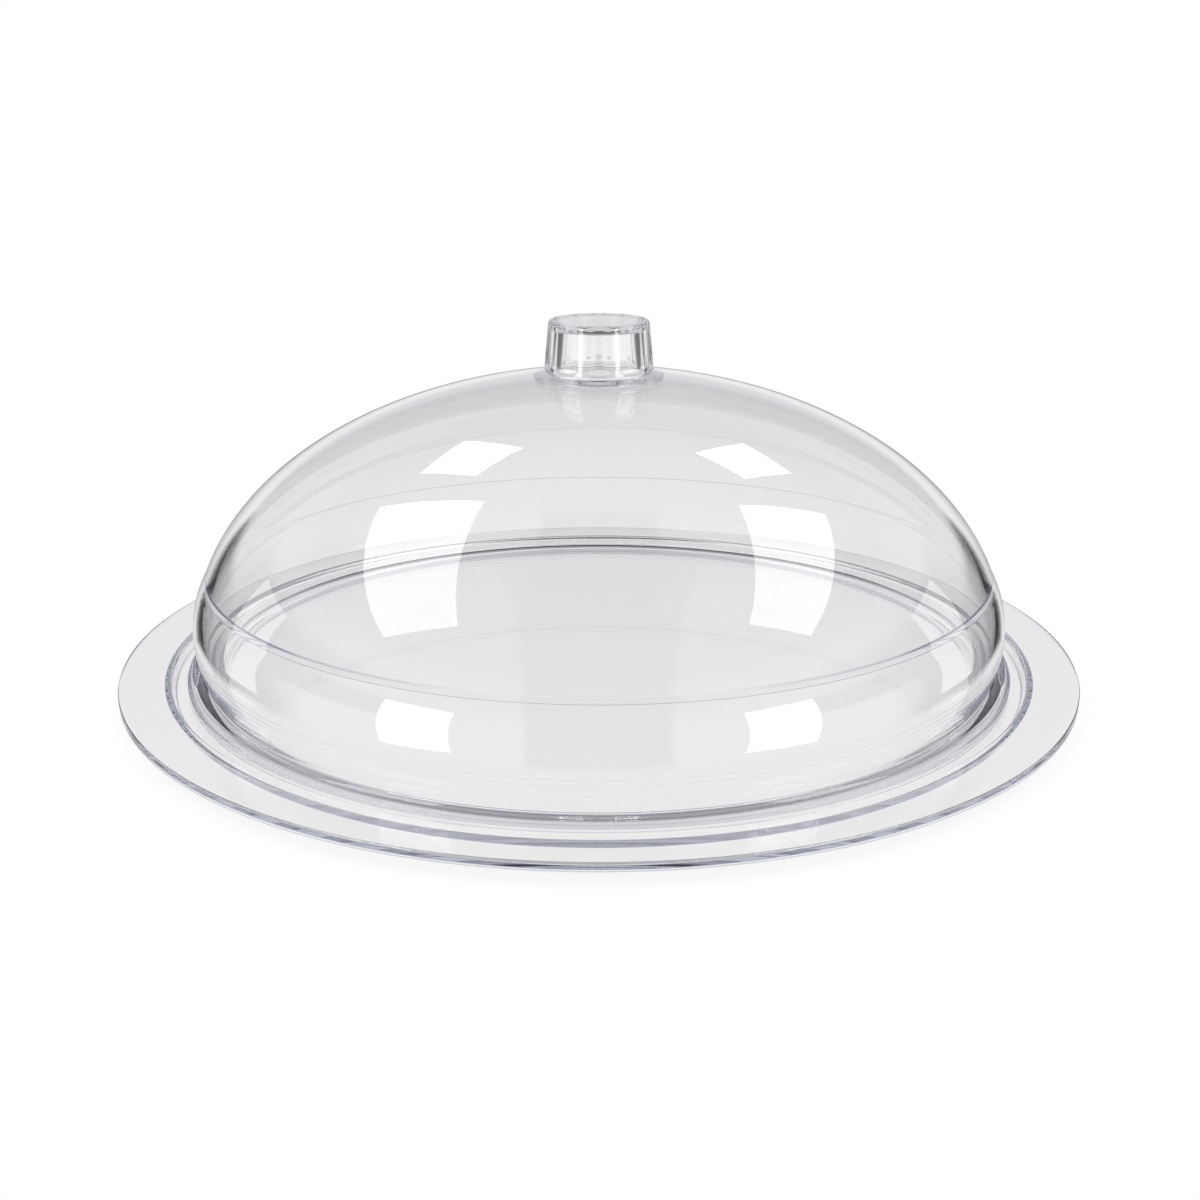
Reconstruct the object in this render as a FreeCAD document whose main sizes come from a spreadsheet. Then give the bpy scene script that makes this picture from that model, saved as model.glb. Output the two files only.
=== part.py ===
"""Covered tray: a round clear tray, a domed cover that stands in its well, and a fluted knob.

Millimetres, +Z up. The origin is on the axis, at the middle of the tray's flat underside. Every
piece is turned about that axis, so each one is a half section revolved about Z.
"""
import FreeCAD, Part
import math
import os
from enum import IntEnum, auto

import Sketcher
from FreeCAD import Placement, Rotation, Vector

DOCUMENT_NAME = "covered_tray"
SHEET_NAME = "sizes"
FULL_TURN = 360.0
UP = Vector(0, 0, 1)

# How a sketch names the point at its own origin
ORIGIN = (-1, 1)

# Driving dimensions by alias: millimetres, but for the shares and flute_count.
SIZES = {
    # Cover, from the crown outwards: an elliptical crown, a ledge inside, a band that swells, a flange
    "crown_radius": 151.8,
    "crown_rise": 93.4,
    "crown_base_height": 16.2,
    "crown_wall": 4.4,
    "ledge_height": 38.6,
    "ledge_rise": 2.0,
    "ledge_round": 0.4,
    "shoulder_round": 20.0,
    "band_swell": 0.6,
    "band_height": 20.4,
    "band_wall": 3.4,
    "flange_reach": 3.3,
    "flange_thickness": 3.0,
    "flange_round_share": 0.12,
    # Tray: the well that takes the cover's flange, and the flat rim round it
    "cover_play": 4.1,
    "well_depth": 3.8,
    "well_draft": 1.9,
    "well_lip_round": 1.2,
    "well_corner_round": 0.8,
    "rim_width": 18.3,
    "tray_wall": 3.2,
    "rim_round_share": 0.15,
    # Knob: a tapered cup with a foot flange, a closed top and upright flutes
    "bond_gap": 0.05,
    "knob_base_radius": 20.2,
    "knob_top_radius": 18.5,
    "knob_height": 19.7,
    "knob_wall": 3.0,
    "knob_top_wall": 3.0,
    "knob_top_round": 0.9,
    "knob_flange_reach": 3.8,
    "knob_flange_thickness": 0.9,
    "knob_foot_round": 1.6,
    "flute_radius": 20.0,
    "flute_depth": 0.8,
    "flute_foot": 2.6,
    "flute_overrun": 2.0,
    "flute_count": 10,
    # How near an edge has to lie to the place where it is looked for
    "edge_tolerance": 0.01,
}


class At(IntEnum):
    """How a sketch numbers the points of a side: its ends, then its centre."""

    START = auto()
    END = auto()
    CENTRE = auto()


class Measure:
    """A size that carries its number and the expression that binds it to the sheet."""

    def __init__(self, number, expression):
        self.number = number
        self.expression = expression

    def __add__(self, other):
        return Measure(self.number + other.number, f"({self.expression} + {other.expression})")

    def __sub__(self, other):
        return Measure(self.number - other.number, f"({self.expression} - {other.expression})")

    def __mul__(self, other):
        return Measure(self.number * other.number, f"({self.expression} * {other.expression})")

    def __truediv__(self, other):
        return Measure(self.number / other.number, f"({self.expression} / {other.expression})")

    def twice(self):
        return self + self

    def root(self):
        return Measure(math.sqrt(self.number), f"sqrt({self.expression})")


NOUGHT = Measure(0.0, "0")
ONE = Measure(1.0, "1")


def size(alias):
    """Give the measure of one cell of the sheet."""
    return Measure(float(sheet.get(alias)), f"{SHEET_NAME}.{alias}")


def make_sheet():
    """Write the driving dimensions into the spreadsheet, one alias to a row."""
    cells = doc.addObject("Spreadsheet::Sheet", SHEET_NAME)
    for row, (alias, number) in enumerate(SIZES.items(), start=1):
        cells.set(f"A{row}", alias)
        cells.set(f"B{row}", str(number))
        cells.setAlias(f"B{row}", alias)
    doc.recompute()
    return cells


class Ellipse:
    """An upright ellipse about the axis, with its centre at a height."""

    def __init__(self, centre, across, rise):
        self.centre = centre
        self.across = across
        self.rise = rise

    def radius_at(self, height):
        lift = (height - self.centre) / self.rise
        return self.across * (ONE - lift * lift).root()

    def height_at(self, radius):
        reach = radius / self.across
        return self.centre + self.rise * (ONE - reach * reach).root()

    def top(self):
        return self.centre + self.rise

    def offset(self, distance):
        return Ellipse(self.centre, self.across + distance, self.rise + distance)


def crown_outside():
    """The ellipse of the crown's outer face; heights in the sheet are above the cover's seat."""
    centre = size("tray_wall") + size("crown_base_height")
    return Ellipse(centre, size("crown_radius"), size("crown_rise"))


def band_radius():
    return size("crown_radius") + size("band_swell")


def flange_radius():
    return band_radius() + size("flange_reach")


def origin_feature(body, role):
    """Find a plane or an axis of the body's own origin by its role."""
    return next(item for item in body.Origin.OriginFeatures if item.Role == role)


class Section:
    """A closed half section in the body's XZ plane, drawn side by side from point to point.

    A point is a pair of measures: how far it stands from the axis, and how high.
    """

    def __init__(self, body):
        self.sketch = body.newObject("Sketcher::SketchObject", f"{body.Name}_section")
        self.sketch.AttachmentSupport = (origin_feature(body, "XZ_Plane"), [""])
        self.sketch.MapMode = "FlatFace"
        self.outline = []

    def constrain(self, kind, *where):
        return self.sketch.addConstraint(Sketcher.Constraint(kind, *where))

    def bind(self, kind, *where, measure):
        """Add a driving dimension whose value follows the sheet."""
        index = self.constrain(kind, *where, measure.number)
        self.sketch.setExpression(f"Constraints[{index}]", measure.expression)

    def draw(self, side, forward=True):
        """Add a side to the outline, which runs along it forward or backward."""
        geometry = self.sketch.addGeometry(side, False)
        ends = (At.START, At.END) if forward else (At.END, At.START)
        self.outline.append((geometry, *ends))
        return geometry

    def line(self, start, end):
        ends = [Vector(across.number, height.number) for across, height in (start, end)]
        return self.draw(Part.LineSegment(*ends))

    def arc(self, centre, radius, start, end, forward=True):
        """Draw part of a circle; forward means anticlockwise."""
        middle = Vector(centre[0].number, centre[1].number)
        first, last = (start, end) if forward else (end, start)
        angles = [
            math.atan2(height.number - middle.y, across.number - middle.x)
            for across, height in (first, last)
        ]
        circle = Part.Circle(middle, UP, radius.number)
        geometry = self.draw(Part.ArcOfCircle(circle, *angles), forward)
        self.bind("Radius", geometry, measure=radius)
        self.place(geometry, At.CENTRE, centre)
        return geometry

    def ellipse_arc(self, ellipse, start, end, forward=True):
        """Draw part of an ellipse; forward means anticlockwise."""
        middle = Vector(0, ellipse.centre.number)
        side = middle + Vector(ellipse.across.number, 0)
        top = middle + Vector(0, ellipse.rise.number)
        first, last = (start, end) if forward else (end, start)
        angles = [
            math.atan2(
                (height.number - middle.y) / ellipse.rise.number,
                across.number / ellipse.across.number,
            )
            for across, height in (first, last)
        ]
        whole = Part.Ellipse(side, top, middle)
        geometry = self.draw(Part.ArcOfEllipse(whole, *angles), forward)
        major = self.sketch.addGeometry(Part.LineSegment(side, middle * 2 - side), True)
        minor = self.sketch.addGeometry(Part.LineSegment(top, middle * 2 - top), True)
        self.constrain("InternalAlignment:EllipseMajorDiameter", major, geometry)
        self.constrain("InternalAlignment:EllipseMinorDiameter", minor, geometry)
        self.constrain("Horizontal", major)
        self.place(geometry, At.CENTRE, (NOUGHT, ellipse.centre))
        self.bind("Distance", major, measure=ellipse.across.twice())
        self.bind("Distance", minor, measure=ellipse.rise.twice())
        return geometry

    def place(self, geometry, point, where):
        """Fix a point by both its measures."""
        self.place_across(geometry, point, where[0])
        self.place_height(geometry, point, where[1])

    def place_across(self, geometry, point, across):
        if across is NOUGHT:
            self.constrain("Vertical", *ORIGIN, geometry, point)
        else:
            self.bind("DistanceX", *ORIGIN, geometry, point, measure=across)

    def place_height(self, geometry, point, height):
        self.bind("DistanceY", *ORIGIN, geometry, point, measure=height)

    def close(self):
        """Join each side of the outline to the next one, and the last to the first."""
        for here, after in zip(self.outline, self.outline[1:] + self.outline[:1]):
            self.constrain("Coincident", here[0], here[2], after[0], after[1])

    def revolve(self, body):
        """Turn the section about the upright axis into a solid."""
        turned = body.newObject("PartDesign::Revolution", f"{body.Name}_turned")
        turned.Profile = self.sketch
        turned.ReferenceAxis = (self.sketch, ["V_Axis"])
        turned.Angle = FULL_TURN
        doc.recompute()
        if not self.sketch.FullyConstrained:
            raise RuntimeError(f"{self.sketch.Label} is not fully constrained")
        return turned


def new_body(name):
    """Start a sub-part at the common origin."""
    body = doc.addObject("PartDesign::Body", name)
    body.Label = name
    body.Placement = Placement()
    return body


def ring_edges(feature, height=None, radius=None):
    """Name the round edges of a feature at a height, at a radius, or at both."""
    tolerance = size("edge_tolerance").number
    names = []
    for index, edge in enumerate(feature.Shape.Edges, start=1):
        if edge.Degenerated or not isinstance(edge.Curve, Part.Circle):
            continue
        if height is not None and abs(edge.Curve.Center.z - height.number) > tolerance:
            continue
        if radius is not None and abs(edge.Curve.Radius - radius.number) > tolerance:
            continue
        names.append(f"Edge{index}")
    return names


def round_edges(body, name, feature, edges, radius):
    """Round the named edges of a feature with a radius from the sheet."""
    rounded = body.newObject("PartDesign::Fillet", name)
    rounded.Base = (feature, edges)
    rounded.setExpression("Radius", radius.expression)
    doc.recompute()
    return rounded


def make_tray():
    """A stepped disc of even thickness: flat floor, drafted well wall and a flat outer rim."""
    wall = size("tray_wall")
    well = flange_radius() + size("cover_play")
    lip = well + size("well_draft")
    edge = lip + size("rim_width")
    rim_under = size("well_depth")
    rim_top = rim_under + wall
    body = new_body("tray")
    section = Section(body)
    foot = (well + wall, NOUGHT)
    haunch = (lip + wall, rim_under)
    floor_under = section.line((NOUGHT, NOUGHT), foot)
    skirt = section.line(foot, haunch)
    rim_below = section.line(haunch, (edge, rim_under))
    rim_edge = section.line((edge, rim_under), (edge, rim_top))
    rim_above = section.line((edge, rim_top), (lip, rim_top))
    well_side = section.line((lip, rim_top), (well, wall))
    floor_above = section.line((well, wall), (NOUGHT, wall))
    section.line((NOUGHT, wall), (NOUGHT, NOUGHT))
    section.close()
    section.constrain("Coincident", floor_under, At.START, *ORIGIN)
    for flat in (floor_under, rim_below, rim_above, floor_above):
        section.constrain("Horizontal", flat)
    section.constrain("Parallel", skirt, well_side)
    section.bind("Distance", well_side, At.START, skirt, measure=wall)
    section.place(rim_edge, At.START, (edge, rim_under))
    section.place(rim_edge, At.END, (edge, rim_top))
    section.place_across(well_side, At.START, lip)
    section.place(well_side, At.END, (well, wall))
    section.place_across(floor_above, At.END, NOUGHT)
    disc = section.revolve(body)
    rim_round = wall * size("rim_round_share")
    rimmed = round_edges(body, "rim_rounding", disc, ring_edges(disc, radius=edge), rim_round)
    edges = ring_edges(rimmed, height=rim_top, radius=lip)
    lipped = round_edges(body, "lip_rounding", rimmed, edges, size("well_lip_round"))
    edges = ring_edges(lipped, height=wall, radius=well) + ring_edges(lipped, height=NOUGHT)
    round_edges(body, "corner_rounding", lipped, edges, size("well_corner_round"))
    return body


def make_dome_cover():
    """A crown and a thinner swelling band, a ledge inside where they meet, and a flat foot flange."""
    seat = size("tray_wall")
    flange = flange_radius()
    flange_top = seat + size("flange_thickness")
    ledge_top = seat + size("ledge_height")
    ledge_foot = ledge_top - size("ledge_rise")
    waist = seat + size("band_height")
    outside = crown_outside()
    inside = outside.offset(NOUGHT - size("crown_wall"))
    # The band is the circle that is widest at the waist and meets the crown level with the ledge
    shoulder = outside.radius_at(ledge_top)
    swell = band_radius() - shoulder
    climb = ledge_top - waist
    curve = (swell * swell + climb * climb) / swell.twice()
    hub = (band_radius() - curve, waist)

    def band_point(radius, height):
        drop = height - waist
        return (hub[0] + (radius * radius - drop * drop).root(), height)

    body = new_body("dome_cover")
    section = Section(body)
    top, under_top = (NOUGHT, outside.top()), (NOUGHT, inside.top())
    crown_foot, vault_foot = (shoulder, ledge_top), (inside.radius_at(ledge_top), ledge_top)
    lining_curve = curve - size("band_wall")
    lining_top, heel = band_point(lining_curve, ledge_foot), band_point(lining_curve, seat)
    ankle = band_point(curve, flange_top)
    crown = section.ellipse_arc(outside, top, crown_foot, forward=False)
    section.arc(hub, curve, crown_foot, ankle, forward=False)
    flange_above = section.line(ankle, (flange, flange_top))
    flange_edge = section.line((flange, flange_top), (flange, seat))
    foot = section.line((flange, seat), heel)
    section.arc(hub, lining_curve, heel, lining_top)
    ledge = section.line(lining_top, vault_foot)
    vault = section.ellipse_arc(inside, vault_foot, under_top)
    section.line(under_top, top)
    section.close()
    for arch in (crown, vault):
        section.place_across(arch, At.END, NOUGHT)
    for flat in (flange_above, foot):
        section.constrain("Horizontal", flat)
    section.place_height(ledge, At.START, ledge_foot)
    section.place_height(ledge, At.END, ledge_top)
    section.place(flange_edge, At.START, (flange, flange_top))
    section.place(flange_edge, At.END, (flange, seat))
    shell = section.revolve(body)
    edges = ring_edges(shell, height=ledge_foot)
    edges += ring_edges(shell, height=ledge_top, radius=vault_foot[0])
    ledged = round_edges(body, "ledge_rounding", shell, edges, size("ledge_round"))
    edges = ring_edges(ledged, height=ledge_top, radius=shoulder)
    eased = round_edges(body, "shoulder_rounding", ledged, edges, size("shoulder_round"))
    flange_round = size("flange_thickness") * size("flange_round_share")
    edges = set(ring_edges(eased, radius=flange) + ring_edges(eased, height=flange_top))
    round_edges(body, "flange_rounding", eased, sorted(edges), flange_round)
    return body


def make_knob():
    """A fluted, tapered cup whose foot flange follows the crown that it is cemented to."""
    wall = size("knob_wall")
    thickness = size("knob_flange_thickness")
    crown_top = crown_outside().top()
    seat = crown_outside().offset(size("bond_gap"))
    knob_top = crown_top + size("knob_height")
    ceiling = knob_top - size("knob_top_wall")
    side_top = (size("knob_top_radius"), knob_top)
    side_foot = (size("knob_base_radius"), crown_top + thickness)
    bore_top = (side_top[0] - wall, ceiling)
    bore_foot = side_foot[0] - wall
    flange = side_foot[0] + size("knob_flange_reach")
    mouth = (bore_foot, seat.height_at(bore_foot))
    hem = (flange, seat.height_at(flange))
    hem_top = (flange, hem[1] + thickness)
    body = new_body("knob")
    section = Section(body)
    underside = section.ellipse_arc(seat, mouth, hem, forward=False)
    hem_edge = section.line(hem, hem_top)
    flange_above = section.line(hem_top, side_foot)
    side = section.line(side_foot, side_top)
    cap = section.line(side_top, (NOUGHT, knob_top))
    section.line((NOUGHT, knob_top), (NOUGHT, ceiling))
    cap_under = section.line((NOUGHT, ceiling), bore_top)
    section.line(bore_top, mouth)
    section.close()
    section.place_across(underside, At.END, bore_foot)
    section.place_across(hem_edge, At.START, flange)
    section.constrain("Vertical", hem_edge)
    section.bind("Distance", hem_edge, measure=thickness)
    section.place(flange_above, At.END, side_foot)
    section.place(side, At.END, side_top)
    section.place(cap, At.END, (NOUGHT, knob_top))
    section.place(cap_under, At.START, (NOUGHT, ceiling))
    section.place(cap_under, At.END, bore_top)
    cup = section.revolve(body)
    edges = ring_edges(cup, height=knob_top)
    capped = round_edges(body, "top_rounding", cup, edges, size("knob_top_round"))
    edges = ring_edges(capped, height=side_foot[1], radius=side_foot[0])
    footed = round_edges(body, "foot_rounding", capped, edges, size("knob_foot_round"))
    cut_flutes(body, footed, side_foot, side_top)
    return body


def cut_flutes(body, footed, side_foot, side_top):
    """Cut one round-bottomed flute along the tapered side and repeat it about the axis."""
    taper = side_foot[0] - side_top[0]
    rise = side_top[1] - side_foot[1]
    foot = size("flute_foot")
    radius = size("flute_radius")
    slant = (taper * taper + rise * rise).root()
    bottom = side_foot[0] - taper * foot / rise - size("flute_depth")
    axis = bottom + radius * rise / slant
    axis_height = side_foot[1] + foot + radius * taper / slant
    flute = body.newObject("PartDesign::SubtractiveCylinder", "flute")
    flute.AttachmentSupport = (origin_feature(body, "XY_Plane"), [""])
    flute.MapMode = "FlatFace"
    lean = math.degrees(math.atan2(taper.number, rise.number))
    flute.AttachmentOffset = Placement(Vector(), Rotation(Vector(-1, 0, 0), lean))
    flute.setExpression(
        "AttachmentOffset.Rotation.Angle", f"atan2({taper.expression}; {rise.expression})"
    )
    flute.setExpression("AttachmentOffset.Base.y", (NOUGHT - axis).expression)
    flute.setExpression("AttachmentOffset.Base.z", axis_height.expression)
    flute.setExpression("Radius", radius.expression)
    flute.setExpression("Height", (rise + size("flute_overrun")).expression)
    doc.recompute()
    if flute.Shape.Volume >= footed.Shape.Volume:
        raise RuntimeError("the flute cuts nothing from the knob")
    flutes = body.newObject("PartDesign::PolarPattern", "flutes")
    flutes.Originals = [flute]
    flutes.Axis = (origin_feature(body, "Z_Axis"), [""])
    flutes.Angle = FULL_TURN
    flutes.setExpression("Occurrences", size("flute_count").expression)
    body.Tip = flutes
    doc.recompute()


def check_document():
    """Stop if any object failed to compute."""
    for item in doc.Objects:
        if "Invalid" in item.State or "Error" in item.State:
            raise RuntimeError(f"{item.Label} did not compute: {item.State}")


def export(bodies):
    """Write each sub-part's solid under its own name."""
    for body in bodies:
        if body.Shape.isNull() or not body.Shape.isValid():
            raise RuntimeError(f"{body.Label} has no valid solid")
    os.makedirs("parts", exist_ok=True)
    for body in bodies:
        body.Shape.exportStep(f"parts/{body.Label}.step")
        box = body.Shape.optimalBoundingBox(False, False)
        print(f"{body.Label}: {body.Shape.Volume:.0f} mm3, height {box.ZMin:.2f} to {box.ZMax:.2f}")


doc = FreeCAD.newDocument(DOCUMENT_NAME)
sheet = make_sheet()
pieces = [make_tray(), make_dome_cover(), make_knob()]
doc.recompute()
check_document()
export(pieces)
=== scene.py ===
"""Studio scene of a covered tray: a clear domed cover with a fluted knob on a round clear tray.

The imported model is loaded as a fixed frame. Its three solids are stood for by finely turned meshes
of the same sizes, dressed in polished clear plastic. All lengths are in metres.
"""

import logging
import math
from abc import ABC, abstractmethod
from dataclasses import dataclass, field
from enum import Enum

import bmesh
import bpy
from mathutils import Matrix, Vector


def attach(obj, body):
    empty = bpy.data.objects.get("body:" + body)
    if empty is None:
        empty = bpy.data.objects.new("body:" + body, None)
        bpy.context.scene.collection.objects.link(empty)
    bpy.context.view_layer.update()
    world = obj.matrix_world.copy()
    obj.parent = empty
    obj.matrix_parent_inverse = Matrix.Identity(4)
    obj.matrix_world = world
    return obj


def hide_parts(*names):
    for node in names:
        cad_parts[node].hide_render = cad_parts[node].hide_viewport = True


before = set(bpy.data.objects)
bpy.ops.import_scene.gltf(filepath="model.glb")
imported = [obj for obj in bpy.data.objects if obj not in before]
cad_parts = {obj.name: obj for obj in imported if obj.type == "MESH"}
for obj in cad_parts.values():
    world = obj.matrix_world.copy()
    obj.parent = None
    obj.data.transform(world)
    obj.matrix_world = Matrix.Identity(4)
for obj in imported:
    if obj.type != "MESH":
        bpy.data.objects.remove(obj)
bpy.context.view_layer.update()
LOG = logging.getLogger("covered_tray")
MM = 0.001
FULL_TURN = 2.0 * math.pi

Point = tuple[float, float]
Place = tuple[float, float, float]
Colour = tuple[float, float, float, float]
WHITE: Colour = (1.0, 1.0, 1.0, 1.0)
UP: Place = (0.0, 0.0, 1.0)
Term = bpy.types.NodeSocket | float


class Body(Enum):
    """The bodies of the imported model."""

    TRAY = "tray"
    COVER = "cover"


class Slot(Enum):
    """Names for the pieces' material slots."""

    TRAY = "clear_tray"
    COVER = "clear_cover"
    KNOB = "clear_knob"


class Ray(Enum):
    """The kinds of ray that the scene's materials tell apart."""

    CAMERA = "Is Camera Ray"
    GLOSSY = "Is Glossy Ray"
    TRANSMISSION = "Is Transmission Ray"
    SHADOW = "Is Shadow Ray"


class Input(Enum):
    """The kinds of named input that a geometry tree takes."""

    LENGTH = "NodeSocketFloat"
    COUNT = "NodeSocketInt"
    FINISH = "NodeSocketMaterial"


class NodeBench:
    """Adds nodes to one tree and joins their sockets."""

    def __init__(self, tree: bpy.types.NodeTree) -> None:
        """Start on an emptied tree."""
        self.tree = tree
        tree.nodes.clear()

    def add(self, kind: str, **settings: object) -> bpy.types.Node:
        """Add one node.

        Args:
            kind: the node's type name.
            **settings: values for the node's own properties.

        Returns:
            The new node.
        """
        node = self.tree.nodes.new(kind)
        for name, value in settings.items():
            setattr(node, name, value)
        return node

    def feed(self, target: bpy.types.NodeSocket, source: Term) -> None:
        """Give an input a value, or join it to another node's output.

        Args:
            target: the input socket.
            source: an output socket, or a plain value.
        """
        if isinstance(source, bpy.types.NodeSocket):
            self.tree.links.new(source, target)
        else:
            target.default_value = source

    def calc(self, operation: str, *terms: Term) -> bpy.types.NodeSocket:
        """Add a Math node.

        Args:
            operation: the node's operation.
            *terms: output sockets or numbers, in the node's order.

        Returns:
            The result's socket.
        """
        node = self.add("ShaderNodeMath", operation=operation)
        for socket, term in zip(node.inputs, terms):
            self.feed(socket, term)
        return node.outputs[0]

    def ramp(self, value: Term, low: Point, high: Point, smooth: bool = False) -> bpy.types.NodeSocket:
        """Add a Map Range node that holds its ends.

        Args:
            value: the socket or number to map.
            low: a value and what it becomes.
            high: a second value and what it becomes.
            smooth: True eases in and out of the ends.

        Returns:
            The result's socket.
        """
        node = self.add("ShaderNodeMapRange", interpolation_type="SMOOTHSTEP" if smooth else "LINEAR")
        self.feed(node.inputs["Value"], value)
        node.inputs["From Min"].default_value, node.inputs["To Min"].default_value = low
        node.inputs["From Max"].default_value, node.inputs["To Max"].default_value = high
        return node.outputs["Result"]

    def any_ray(self, *kinds: Ray) -> bpy.types.NodeSocket:
        """Add a test for some kinds of ray.

        Args:
            *kinds: the kinds that count.

        Returns:
            A socket that is 1 for these rays and 0 for others.
        """
        path = self.add("ShaderNodeLightPath")
        found = path.outputs[kinds[0].value]
        for kind in kinds[1:]:
            found = self.calc("MAXIMUM", found, path.outputs[kind.value])
        return found

    def mixed(
        self, share: Term, first: bpy.types.NodeSocket, second: bpy.types.NodeSocket
    ) -> bpy.types.NodeSocket:
        """Add a Mix Shader node.

        Args:
            share: how much of the second shader shows, a socket or a number.
            first: the first shader's socket.
            second: the second shader's socket.

        Returns:
            The mixed shader's socket.
        """
        node = self.add("ShaderNodeMixShader")
        for socket, source in zip(node.inputs, (share, first, second)):
            self.feed(socket, source)
        return node.outputs[0]


@dataclass(frozen=True)
class ClearPlastic:
    """Polished clear plastic: faintly tinted in its depth, with moulding ripple and a trace of haze."""

    name: str
    refraction: float = 1.5
    tint: Colour = (0.74, 0.76, 0.83, 1.0)
    tint_density: float = 7.0
    gloss: Point = (0.0, 0.006)
    haze_scale: float = 42.0
    haze_detail: float = 4.0
    haze_range: Point = (0.45, 0.75)
    ripple_scale: float = 16.0
    ripple_detail: float = 1.0
    ripple_height: float = 0.006 * MM
    shadow_pass: Colour = (0.972, 0.972, 0.978, 1.0)

    def material(self) -> bpy.types.Material:
        """Build the finish.

        Returns:
            A new material.
        """
        material = bpy.data.materials.new(self.name)
        material.use_nodes = True
        bench = NodeBench(material.node_tree)
        plastic = bench.add("ShaderNodeBsdfPrincipled")
        plastic.inputs["Base Color"].default_value = WHITE
        plastic.inputs["Transmission Weight"].default_value = 1.0
        plastic.inputs["IOR"].default_value = self.refraction
        place = bench.add("ShaderNodeTexCoord").outputs["Object"]
        bench.feed(plastic.inputs["Roughness"], self.haze(bench, place))
        bench.feed(plastic.inputs["Normal"], self.ripple(bench, place))
        clear = bench.add("ShaderNodeBsdfTransparent")
        clear.inputs["Color"].default_value = self.shadow_pass
        depth = bench.add("ShaderNodeVolumeAbsorption")
        depth.inputs["Color"].default_value = self.tint
        depth.inputs["Density"].default_value = self.tint_density
        surface = bench.mixed(bench.any_ray(Ray.SHADOW), plastic.outputs[0], clear.outputs[0])
        output = bench.add("ShaderNodeOutputMaterial")
        bench.feed(output.inputs["Surface"], surface)
        bench.feed(output.inputs["Volume"], depth.outputs[0])
        return material

    def haze(self, bench: NodeBench, place: bpy.types.NodeSocket) -> bpy.types.NodeSocket:
        """Roughness that drifts from polished to faintly hazed.

        Args:
            bench: the material's nodes.
            place: the coordinates to read.

        Returns:
            The roughness socket.
        """
        noise = bench.add("ShaderNodeTexNoise")
        bench.feed(noise.inputs["Vector"], place)
        noise.inputs["Scale"].default_value = self.haze_scale
        noise.inputs["Detail"].default_value = self.haze_detail
        low, high = zip(self.haze_range, self.gloss)
        return bench.ramp(noise.outputs["Fac"], low, high)

    def ripple(self, bench: NodeBench, place: bpy.types.NodeSocket) -> bpy.types.NodeSocket:
        """Normals with the slight waviness of a moulded wall.

        Args:
            bench: the material's nodes.
            place: the coordinates to read.

        Returns:
            The normal socket.
        """
        noise = bench.add("ShaderNodeTexNoise")
        bench.feed(noise.inputs["Vector"], place)
        noise.inputs["Scale"].default_value = self.ripple_scale
        noise.inputs["Detail"].default_value = self.ripple_detail
        bump = bench.add("ShaderNodeBump")
        bump.inputs["Strength"].default_value = 1.0
        bump.inputs["Distance"].default_value = self.ripple_height
        bench.feed(bump.inputs["Height"], noise.outputs["Fac"])
        return bump.outputs["Normal"]


@dataclass(frozen=True)
class Curve:
    """The outer side of an ellipse or a circle in the plane of a half-section."""

    centre: Point
    across: float
    rise: float

    @property
    def top(self) -> float:
        """The height of its highest point."""
        return self.centre[1] + self.rise

    def angle_at(self, height: float) -> float:
        """The angle above level at a height."""
        return math.asin(min((height - self.centre[1]) / self.rise, 1.0))

    def radius_at(self, height: float) -> float:
        """The radius at a height."""
        return self.centre[0] + self.across * math.cos(self.angle_at(height))

    def height_at(self, radius: float) -> float:
        """The height at a radius, on the upper side."""
        share = (radius - self.centre[0]) / self.across
        return self.centre[1] + self.rise * math.sqrt(1.0 - share * share)

    def grown(self, by: float) -> "Curve":
        """The same curve made larger all round, or smaller by a negative distance."""
        return Curve(self.centre, self.across + by, self.rise + by)


CROWN = Curve((0.0, 19.4 * MM), 151.8 * MM, 93.4 * MM)


@dataclass(frozen=True)
class Stop:
    """One corner of a half-section and how far it is rounded."""

    radius: float
    height: float
    rounding: float = 0.0


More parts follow.
